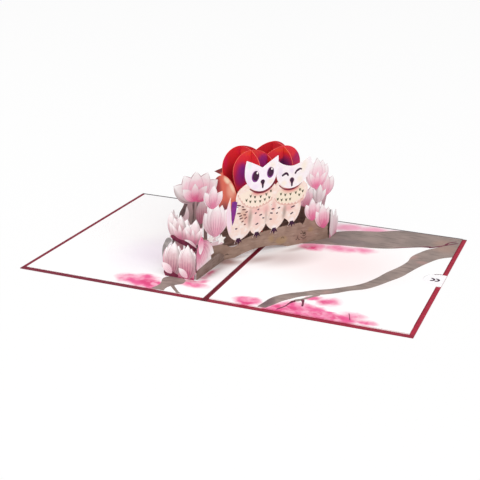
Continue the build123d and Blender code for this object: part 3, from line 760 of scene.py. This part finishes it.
def lay_petal(place, length, width, turn, x, y, proud, tone):
    """One petal on both faces of a sheet. Its tone is pink, grey, and if given from the tip and veins."""
    pink, grey, from_tip, veins = tone + (0.0, 1.0)[len(tone) - 2:]
    petal = unit_petal.copy()
    petal.data = unit_petal.data.copy()
    bpy.context.scene.collection.objects.link(petal)
    local = Matrix.Translation((x * MM, y * MM, 0)) @ Matrix.Rotation(math.radians(turn), 4, "Z")
    settle(petal, local @ Matrix.Diagonal((width * MM * OVER_WIDTH, length * MM * OVER_LENGTH, 1, 1)))
    solid = petal.modifiers.new("thickness", "SOLIDIFY")
    solid.thickness = (SHEET + 2 * proud) * MM
    solid.offset = 0
    bpy.ops.object.modifier_apply(modifier="thickness")
    layer = petal.data.color_attributes.new("tone", "FLOAT_COLOR", "POINT")
    for item in layer.data:
        item.color = (pink, grey, from_tip, 1.0)
    layer = petal.data.attributes.new("veins", "FLOAT", "POINT")
    for item in layer.data:
        item.value = veins
    settle(petal, place)
    return petal


def fan(x, y, size, lean, spread, count, tone, drop=0.16, wide=0.41, left_tone=None):
    """The petals of one flower, the outer ones first, as its sheet is cut."""
    petals = []
    middle = (count - 1) / 2
    for i in sorted(range(count), key=lambda i: -abs(i - middle)):
        step = (i - middle) / middle
        length = size * (1.0 - drop * abs(step))
        width = (size if i == middle else length) * wide
        own_tone = left_tone if i == 0 and left_tone else tone
        petals.append((length, width, lean - spread * step, x, y, own_tone))
    return petals


def dress(name, place, petals, cuts=()):
    """The petals of one sheet, each laid over the last, and cut off past its edges."""
    pieces = []
    for k, (length, width, turn, x, y, tone) in enumerate(petals):
        pieces.append(lay_petal(place, length, width, turn, x, y, INK + INK_STEP * k, tone))
    trim(join(pieces, name, petal_paper), place, cuts)


# Where each sheet with petals or marks stands
foot_x, foot_y = -16.2, -61.6
crease = long_sheet(FRONT_N) @ Vector((WALL_CORNER * MM, 0, 0))
side_angle = math.degrees(math.atan2(crease.y / MM - foot_y, crease.x / MM - foot_x))
side_sheet = standing(foot_x, foot_y, side_angle)
corner_sheet = side_sheet @ Matrix.Translation((0, 0, -SHEET * MM))
wall_end = long_sheet(FRONT_N) @ Vector((WALL_END * MM, 0, 0))
end_sheet = standing(wall_end.x / MM + SHEET, wall_end.y / MM - 1.0, END_ANGLE)
front_sheet = standing(foot_x - SHEET, -62.5, 180.0)
middle_sheet = standing(-17.2, -50.0, 180.0)
outer_sheet = standing(-39.6, -49.4, OUTER_ANGLE)
tall_left_sheet = long_sheet(TALL_LEFT_N)
bark_face = long_sheet(FRONT_N)
right_body_face = long_sheet(FRONT_N + SHEET)
left_body_face = long_sheet(FRONT_N + 2 * SHEET)
left_head_face = long_sheet(FRONT_N + 3 * SHEET)
LEFT_EDGE = (0.0, 0.0, -1, 0)

dress("petals_front_left", front_sheet, (
    fan(15.4, 0.4, 22.6, 3.0, 16.0, 5, (0.75, 0.9))
    + fan(5.4, -0.4, 22.4, 0.0, 14.0, 5, (0.9, 0.7))
    + [(8.0, 4.4, -46.0, 5.6, 0.6, (0.15, 0.0)), (9.0, 5.4, -46.0, 16.2, 2.0, (0.15, 0.1))]
), (LEFT_EDGE,))
dress("petals_middle_left", middle_sheet, (
    [(17.0, 6.2, -4.0, 20.6, 21.0, (0.3, 0.9))]
    + fan(14.6, 18.6, 17.8, -2.0, 32.0, 5, (0.9, 0.95))
    + fan(14.8, 18.6, 11.4, 6.0, 36.0, 4, (1.0, 0.6), -0.08, 0.28)
    + fan(6.0, 17.8, 17.2, 4.0, 24.0, 3, (0.6, 0.55))
    + fan(6.4, 17.8, 10.6, -2.0, 26.0, 3, (0.9, 0.5), -0.1, 0.27)
    + [(9.0, 4.2, -60.0, 4.6, 16.2, (0.05, 0.1))]
), ((0.6, 0.0, -1, 0),))
# The grey of these petals is painted shade on the panel that faces away from the light
dress("petals_side_left", outer_sheet, [
    (15.0, 5.6, -24.0, 4.8, 18.5, (0.3, 0.9)),
    (18.0, 6.6, 2.0, 5.2, 19.5, (0.4, 0.9)),
    (20.0, 6.4, -8.0, 10.0, 3.6, (0.5, 0.9)),
], (LEFT_EDGE,))
dress("petals_corner_left", corner_sheet, (
    fan(4.0, 21.8, 24.0, -148.0, 28.0, 5, (1.0, 0.2), 0.0)
    + [(11.0, 7.0, -12.0, 5.0, 15.0, (1.0, 0.0, 0.95))]
), (LEFT_EDGE, (0.0, 1.0, 0, -1)))
dress("petals_low_left", right_body_face, (
    fan(-32.6, 17.2, 22.8, 0.0, 26.0, 5, (0.5, 0.25))
    + fan(-35.4, 36.6, 15.4, -4.0, 30.0, 3, (0.8, 0.25))
))
dress("petals_low_right", right_body_face, (
    fan(45.8, 15.6, 16.0, 3.0, 24.0, 3, (1.0, 0.2))
    + fan(56.0, 8.6, 17.8, 8.0, 22.0, 3, (1.0, 0.15))
), ((60.4, 0.0, 1, 0),))
dress("petals_tall_left", tall_left_sheet, (
    [(13.5, 4.6, 4.0, -45.6, 23.6, (0.1, 0.6)), (17.5, 8.6, -3.0, -34.6, 21.6, (0.7, 0.4))]
    + fan(-38.6, 38.2, 19.4, 0.0, 54.0, 5, (1.0, 0.05, 0.0, 0.5), -0.04, 0.58, (0.35, 0.8))
    + fan(-39.4, 38.2, 11.6, 0.0, 46.0, 3, (1.0, 0.0, 0.0, 0.4), -0.1, 0.52)
))
dress("petals_tall_right", long_sheet(TALL_RIGHT_N), (
    fan(47.6, 23.0, 17.0, 16.0, 28.0, 3, (0.6, 0.0, 0.0, 0.5))
    + fan(63.0, 28.6, 17.4, 4.0, 26.0, 3, (0.6, 0.1, 0.0, 0.5), 0.16, 0.46)
    + fan(55.4, 34.4, 22.4, 3.0, 27.0, 5, (0.7, 0.0, 0.0, 0.5))
    + fan(56.6, 24.0, 13.6, -6.0, 28.0, 3, (0.0, 0.5))
    + fan(54.4, 36.0, 11.0, -4.0, 34.0, 3, (0.9, 0.0, 0.0, 0.3), -0.1, 0.36)
))
dress("petals_end", end_sheet, [
    (14.0, 6.6, -34.0, 9.0, 0.2, (0.4, 0.0, 0.0, 0.3)),
    (11.0, 5.6, 24.0, 5.5, 0.2, (0.3, 0.0, 0.0, 0.3)),
    (18.5, 7.6, -14.0, 7.0, 0.2, (0.2, 0.0, 0.0, 0.2)),
    (20.6, 8.2, 6.0, 4.2, 0.2, (0.0, 0.0, 0.0, 0.1)),
], ((0.4, 0.0, -1, 0),))
bpy.data.objects.remove(unit_petal)


# Printed marks on the owls

right_head_face = left_body_face


def ruff_edge(points):
    """The soft shade under a ruff: tufts along its top, and the same run lower down below."""
    top = []
    for (ax, ay), (bx, by) in zip(points, points[1:]):
        top.append((ax, ay + 0.8))
        top.append(((ax + bx) / 2, (ay + by) / 2 - 0.3))
    top.append((points[-1][0], points[-1][1] + 0.8))
    return top + [(x, y - 0.9) for x, y in reversed(points)]


def ruff_mark(x, y, size=1.7):
    """A small notched tuft, wider at its top."""
    return ((x - size * 0.55, y + size * 0.6), (x, y + size * 0.2), (x + size * 0.55, y + size * 0.6),
            (x + size * 0.30, y - size * 0.4), (x, y - size * 0.7), (x - size * 0.30, y - size * 0.4))


def feather_dash(x, y, length, turn):
    """A short brush mark, thickest in its middle."""
    t = math.radians(turn)
    dx = length / 2 * math.cos(t)
    dy = length / 2 * math.sin(t)
    return stroke(((x - dx, y - dy), (x, y), (x + dx, y + dy)), (0.3, 0.9, 0.3))


def claw(x, y):
    """A foot of three toes over the branch."""
    toes = ((-1.3, 2.6), (-3.0, -1.2), (-1.0, 0.4), (0.0, -2.2), (1.0, 0.4), (3.0, -1.2), (1.3, 2.6))
    return [(x + dx, y + dy) for dx, dy in toes]


def small_blossom(x, y, size):
    """A five pointed star."""
    tips = []
    for k in range(10):
        r = size / 2 if k % 2 == 0 else size / 4
        a = math.radians(90 + 36 * k)
        tips.append((x + r * math.cos(a), y + r * math.sin(a)))
    return tips


join([
    ink_shape(left_head_face, oval(-3.3, 53.9, 5.8, 7.6, -4)),
    ink_shape(left_head_face, oval(8.5, 55.2, 5.4, 7.4, -8)),
], "owl_eye_glow", eye_glow_ink)
join([
    ink_shape(left_head_face, oval(-3.0, 54.3, 4.8, 6.6, -4), ON + 0.02),
    ink_shape(left_head_face, oval(8.7, 55.6, 4.4, 6.4, -8), ON + 0.02),
], "owl_eyes", plum_ink)
join([
    ink_shape(left_head_face, oval(-1.9, 56.2, 1.3, 1.7), ON + 0.04),
    ink_shape(left_head_face, oval(9.5, 57.6, 1.2, 1.6), ON + 0.04),
], "owl_eye_lights", white_ink)
join([
    ink_shape(left_head_face, (
        (1.0, 50.2), (2.6, 51.2), (4.2, 50.2), (3.5, 47.8), (2.7, 45.2), (1.9, 47.8))),
    ink_shape(right_head_face, (
        (24.8, 48.0), (26.5, 49.2), (28.2, 47.8), (27.4, 45.4), (26.6, 42.9), (25.7, 45.6))),
], "owl_beaks", plum_ink)
join([
    ink_shape(right_head_face, stroke(
        ((18.2, 51.2), (20.0, 52.2), (21.7, 52.6), (22.9, 51.7), (23.3, 50.6)), (0.7, 1.5, 1.6, 1.3, 0.6))),
    ink_shape(right_head_face, stroke(
        ((28.8, 51.3), (29.8, 52.9), (31.6, 54.0), (33.2, 54.4), (34.4, 53.9)), (0.6, 1.3, 1.5, 1.2, 0.5))),
], "owl_closed_eyes", plum_ink)
# A dark red line under each chin: painted shadow of the head
join([
    ink_shape(left_body_face, stroke(
        ((-7.4, 46.0), (-3.0, 43.4), (2.2, 42.6), (7.2, 43.8), (11.0, 46.4), (13.4, 49.4)),
        (0.3, 1.2, 1.7, 1.7, 1.5, 0.8))),
    ink_shape(right_body_face, stroke(
        ((16.4, 45.0), (20.8, 41.8), (25.6, 41.0), (30.6, 41.9), (35.2, 44.8)), (0.3, 0.8, 1.2, 1.0, 0.4))),
], "owl_chin_shadow_lines", chin_shadow_ink)
join([
    ink_shape(left_body_face, ruff_edge((
        (-16.0, 42.4), (-14.6, 40.2), (-13.0, 38.0), (-11.0, 36.0), (-8.6, 34.3), (-6.2, 33.3), (-3.7, 32.8),
        (-1.2, 32.7), (1.3, 33.0), (3.8, 33.7), (6.3, 34.5), (8.6, 35.5), (10.8, 37.2))), ON, THIN),
    ink_shape(right_body_face, ruff_edge((
        (13.2, 36.6), (14.6, 34.6), (16.8, 32.8), (19.3, 31.8), (22.0, 31.1), (24.8, 30.7), (27.6, 30.5),
        (30.3, 30.6), (32.8, 31.2), (35.0, 32.4), (37.2, 34.6))), ON, THIN),
], "owl_ruff_shade", ruff_shade_ink)

for name, material, face, marks in (
    ("owl_ruff_marks_left", olive_ink, left_body_face, (
        (-6.3, 41.0), (-2.9, 39.9), (1.6, 39.6), (6.1, 40.5), (9.7, 42.3), (-9.5, 38.6), (-6.5, 37.2),
        (-2.6, 36.7), (1.3, 36.4), (5.0, 37.1), (8.5, 38.0))),
    ("owl_ruff_marks_right", olive_ink, right_body_face, (
        (18.2, 38.7), (21.8, 37.7), (26.1, 37.6), (30.5, 38.0), (33.9, 39.7), (15.8, 35.5), (19.0, 34.5),
        (22.7, 34.1), (25.9, 34.1), (36.2, 38.3), (33.4, 36.0))),
):
    join([ink_shape(face, ruff_mark(x, y), rounded=False) for x, y in marks], name, material)

for name, material, face, dashes in (
    ("owl_flank_dashes", feather_ink, left_body_face, (
        (-15.4, 35.8, 3.2, -12), (-12.2, 34.4, 2.2, -15), (-11.4, 32.4, 2.8, -8), (-9.2, 30.4, 2.0, 20),
        (-15.2, 30.3, 3.0, -6), (-13.9, 28.4, 2.4, 15), (-10.6, 28.7, 2.2, -10), (-13.3, 26.6, 2.6, 10),
        (-9.8, 26.4, 2.4, 30), (-12.2, 24.3, 2.0, 20), (-10.4, 22.0, 1.6, 10))),
    ("owl_feather_dashes_left", plum_ink, left_body_face, (
        (-17.0, 20.0, 1.8, 0), (0.1, 30.8, 1.6, 20), (-1.9, 28.5, 1.4, 20), (2.1, 26.7, 2.2, 14),
        (4.3, 24.2, 1.6, 0), (-0.7, 20.8, 2.4, 20))),
    ("owl_feather_dashes_right", plum_ink, right_body_face, (
        (10.4, 32.4, 1.6, 0), (12.1, 29.2, 2.4, 4), (17.1, 29.2, 2.0, 20), (11.0, 26.4, 2.2, -10),
        (10.6, 22.2, 2.0, -10), (15.6, 25.7, 1.5, 10), (28.5, 28.3, 3.2, 14), (27.8, 23.7, 2.6, 22))),
):
    join([ink_shape(face, feather_dash(*values)) for values in dashes], name, material)

join([
    ink_shape(left_body_face, claw(-15.2, 10.6), rounded=False),
    ink_shape(left_body_face, claw(-0.6, 12.6), rounded=False),
    ink_shape(right_body_face, claw(13.6, 13.0), rounded=False),
    ink_shape(right_body_face, claw(28.0, 15.6), rounded=False),
], "owl_claws", plum_ink)
join([
    ink_shape(left_body_face, (
        (-20.9, 38.8), (-18.6, 39.2), (-16.6, 38.2), (-17.4, 32.0), (-18.6, 26.6), (-20.1, 22.6),
        (-20.9, 27.0), (-21.3, 33.0)), rounded=False),
], "owl_wing_shadow", purple_ink)


# Twigs, stalks, small blossoms and the bark's cracks

join([
    ink_shape(tall_left_sheet, stroke(((-43.8, 41.6), (-46.4, 36.4), (-49.9, 28.6)), (2.2, 2.5, 1.8))),
], "twig_tall_left", grey_twig_ink)
join([
    ink_behind(middle_sheet, stroke(
        ((21.6, 22.0), (17.0, 19.6), (11.6, 18.2), (8.0, 16.6), (4.8, 14.9)),
        (1.4, 2.6, 3.2, 2.6, 1.8)), ON + 0.16),
    ink_behind(front_sheet, (
        (21.4, 3.4), (17.6, 4.0), (14.0, 2.4), (11.6, 0.6), (15.0, -0.2), (20.6, 0.0)), ON + 0.04),
], "twig_middle_left", twig_ink)
join([
    ink_behind(middle_sheet, stroke(
        ((22.6, 19.6), (25.2, 16.2), (26.6, 11.0), (26.4, 5.0), (25.4, -0.4)),
        (2.6, 3.0, 3.0, 2.6, 3.0)), -ON, SHEET),
], "stalk_middle_left", stalk_ink)
join([
    ink_shape(tall_left_sheet, stroke(
        ((-38.4, 39.0), (-38.6, 30.0), (-38.2, 21.0)), (3.4, 3.6, 3.6)), -ON, SHEET),
], "stalk_tall_left", trunk_print)
join([
    ink_shape(bark_face, stroke(points, (0.2, 0.5, 0.6, 0.2))) for points in (
        ((36.4, 9.4), (38.2, 8.6), (37.4, 7.2), (36.0, 7.8)),
        ((39.6, 8.2), (41.0, 6.6), (39.4, 5.4), (38.0, 6.0)),
        ((36.6, 5.2), (38.0, 4.0), (40.2, 3.6), (41.4, 4.6)),
        ((34.4, 6.6), (34.0, 5.0), (35.0, 3.6), (36.4, 3.2)),
        ((20.0, 6.6), (21.0, 7.4), (22.2, 7.2), (22.6, 6.2)),
        ((-24.6, 2.6), (-23.6, 3.2), (-22.6, 3.0), (-22.2, 2.2)))
], "bark_cracks", crack_ink)
join([
    ink_shape(right_body_face, small_blossom(-28.2, 14.4, 7.4), rounded=False),
    ink_shape(right_body_face, small_blossom(-36.2, 15.6, 6.0), rounded=False),
], "small_blossoms", white_ink)


# Branch and twigs printed on the pages, each a hair above the one below, and cut off at the linings' edges

page_print = lying(PAGE)
left_print = lying(LEFT_PAGE)
upper_limb = (
    (20.5, 31.0), (31.6, 33.2), (41.6, 35.7), (51.6, 38.2), (61.8, 39.8), (73.7, 42.6), (82.6, 46.2),
    (90.5, 51.4), (99.8, 57.0), (107.4, 60.7), (116.0, 70.0), (130.0, 84.0), (130.0, 92.0), (100.0, 89.0),
    (87.3, 87.0), (77.1, 84.4), (66.3, 77.4), (59.0, 74.6), (46.4, 69.5), (37.8, 63.1), (33.2, 58.5))
lower_limb = (
    (130.0, 84.0), (118.0, 73.0), (110.8, 61.6), (105.7, 54.6), (101.9, 46.4), (98.6, 36.6), (98.2, 26.2),
    (95.4, 14.9), (90.1, 1.0), (85.8, -13.0), (79.5, -26.0), (72.0, -34.2), (64.4, -41.4), (56.6, -47.0),
    (50.0, -53.2), (43.7, -58.6), (39.0, -64.0), (35.8, -70.5), (34.4, -78.0), (33.2, -84.0), (32.6, -90.0),
    (36.6, -90.0), (37.8, -86.0), (41.2, -78.2), (43.9, -71.8), (47.5, -66.3), (50.6, -61.8), (55.0, -57.7),
    (61.2, -53.4), (69.3, -47.0), (76.6, -39.2), (84.4, -32.8), (89.1, -26.2), (95.5, -13.4), (101.1, -1.5),
    (103.7, 7.3), (107.6, 19.8), (112.0, 30.8), (116.8, 40.2), (130.0, 54.0))
left_limb = (
    (-35.6, -64.0), (-24.6, -62.6), (-21.6, -70.0), (-25.0, -74.4), (-28.0, -79.6), (-29.0, -90.0),
    (-35.4, -90.0), (-34.4, -77.0))
side_shoot = stroke(((61.6, -52.6), (57.4, -58.8), (54.4, -63.6), (50.2, -68.6)), (1.0, 2.0, 2.2, 1.4))
left_shoot = stroke(((-28.2, -73.6), (-24.9, -77.8), (-19.9, -83.5), (-15.2, -89.0)), (1.6, 2.2, 1.9, 1.6))
twigs = (
    (((50.6, -68.0), (48.8, -73.0), (48.0, -77.6), (44.7, -84.8)), (1.3, 1.1, 0.9, 0.4)),
    (((54.4, -64.4), (56.0, -69.0), (57.2, -74.4)), (0.9, 1.2, 0.5)),
    (((85.4, -72.6), (86.8, -76.6), (88.5, -82.0)), (0.2, 0.4, 0.2)),
    (((84.0, 47.8), (92.0, 53.0), (99.6, 57.4), (107.0, 61.0)), (0.3, 0.9, 0.7, 1.2)),
    (((106.0, 58.4), (111.0, 63.4), (115.4, 68.6), (123.0, 76.6)), (0.6, 1.5, 1.1, 0.5)),
    (((115.4, 68.6), (117.0, 75.0), (121.6, 79.6)), (0.8, 0.9, 0.4)),
)
branch_on_page = join([
    ink_shape(page_print, upper_limb, 0.004, THIN),
    ink_shape(page_print, lower_limb, 0.006, 0.014),
    ink_shape(page_print, side_shoot, 0.022, THIN),
], "branch_on_page", page_branch_ink)
trim(branch_on_page, page_print, RIGHT_LINING)
branch_on_left = join([
    ink_shape(left_print, left_limb, 0.004, THIN),
], "branch_on_left_page", page_branch_ink)
trim(branch_on_left, left_print, LEFT_LINING)
twig_on_left = join([
    ink_shape(left_print, left_shoot, 0.02, THIN),
], "twig_on_left_page", page_branch_ink)
trim(twig_on_left, left_print, LEFT_LINING)
twigs_on_page = join([
    ink_shape(page_print, stroke(points, widths), 0.024, THIN) for points, widths in twigs
], "twigs_on_page", twig_ink)
trim(twigs_on_page, page_print, RIGHT_LINING)


# Small mark for the fingers on the note card's tab: two chevrons

note_top = lying(COVER + NOTE)
chevron = (0.8, 1.3, 0.8)
tab_mark = join([
    ink_shape(note_top, stroke(((118.6, 4.8), (120.8, 2.3), (118.6, -0.2)), chevron), 0.004, THIN),
    ink_shape(note_top, stroke(((121.6, 4.8), (123.8, 2.3), (121.6, -0.2)), chevron), 0.004, THIN),
], "tab_mark", plum_ink)
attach(tab_mark, "note")


# Floor, light and camera

def make_floor():
    """A white studio sweep: white to the camera, while the object's shadow stays on it."""
    material, tree = new_material("studio_floor_paper")
    path = add(tree, "ShaderNodeLightPath")
    shadow = add(tree, "ShaderNodeBsdfDiffuse", {"Color": "F6F5F5"})
    white = add(tree, "ShaderNodeEmission", {"Color": (1, 1, 1, 1), "Strength": 1.0})
    seen = amount(tree, path.outputs["Is Camera Ray"], 0.9)
    both = add(tree, "ShaderNodeMixShader", {0: seen, 1: shadow, 2: white})
    add(tree, "ShaderNodeOutputMaterial", {"Surface": both})
    return material


bpy.ops.object.select_all(action="DESELECT")
bpy.ops.mesh.primitive_plane_add(size=8.0, location=(0, 0, 0))
floor = bpy.context.view_layer.objects.active
floor.name = "studio_floor"
floor.data.materials.append(make_floor())


def area_lamp(name, place, power):
    """A square softbox, 1.6 m wide, that faces the middle of the pop up from its place in metres."""
    data = bpy.data.lights.new(name, "AREA")
    data.shape = "SQUARE"
    data.size = 1.6
    data.energy = power
    lamp = bpy.data.objects.new(name, data)
    bpy.context.scene.collection.objects.link(lamp)
    lamp.location = place
    lamp.rotation_mode = "QUATERNION"
    lamp.rotation_quaternion = (Vector((0, 0, 0.03)) - Vector(place)).to_track_quat("-Z", "Y")


area_lamp("key_softbox", (-0.8, -1.2, 1.8), 26.4)
area_lamp("fill_softbox", (1.3, -1.0, 1.3), 13.6)

world = bpy.data.worlds.new("studio")
world.use_nodes = True
sky = world.node_tree
sky.nodes.clear()
sky_path = add(sky, "ShaderNodeLightPath")
room = add(sky, "ShaderNodeBackground", {"Color": (1, 1, 1, 1), "Strength": 0.56})
backdrop = add(sky, "ShaderNodeBackground", {"Color": (1, 1, 1, 1), "Strength": 1.0})
mixed = add(sky, "ShaderNodeMixShader", {0: sky_path.outputs["Is Camera Ray"], 1: room, 2: backdrop})
add(sky, "ShaderNodeOutputWorld", {"Surface": mixed})
bpy.context.scene.world = world

# The camera's place and lens are fitted to the card's corners and fold in the photograph
view = bpy.data.cameras.new("camera")
view.lens = 78.4062
view.sensor_width = 36.0
view.sensor_fit = "HORIZONTAL"
view.clip_start = 0.01
view.clip_end = 20.0
camera = bpy.data.objects.new("camera", view)
bpy.context.scene.collection.objects.link(camera)
right = Vector((0.932596, 0.359957, 0.026373))
down = Vector((0.145207, -0.307307, -0.940467))
ahead = Vector((-0.330423, 0.880905, -0.338861))
pose = Matrix((right, -down, -ahead)).transposed().to_4x4()
camera.matrix_world = Matrix.Translation((221.6199 * MM, -620.4017 * MM, (245.5952 + PAGE) * MM)) @ pose
bpy.context.scene.camera = camera
bpy.context.scene.view_settings.view_transform = "Standard"
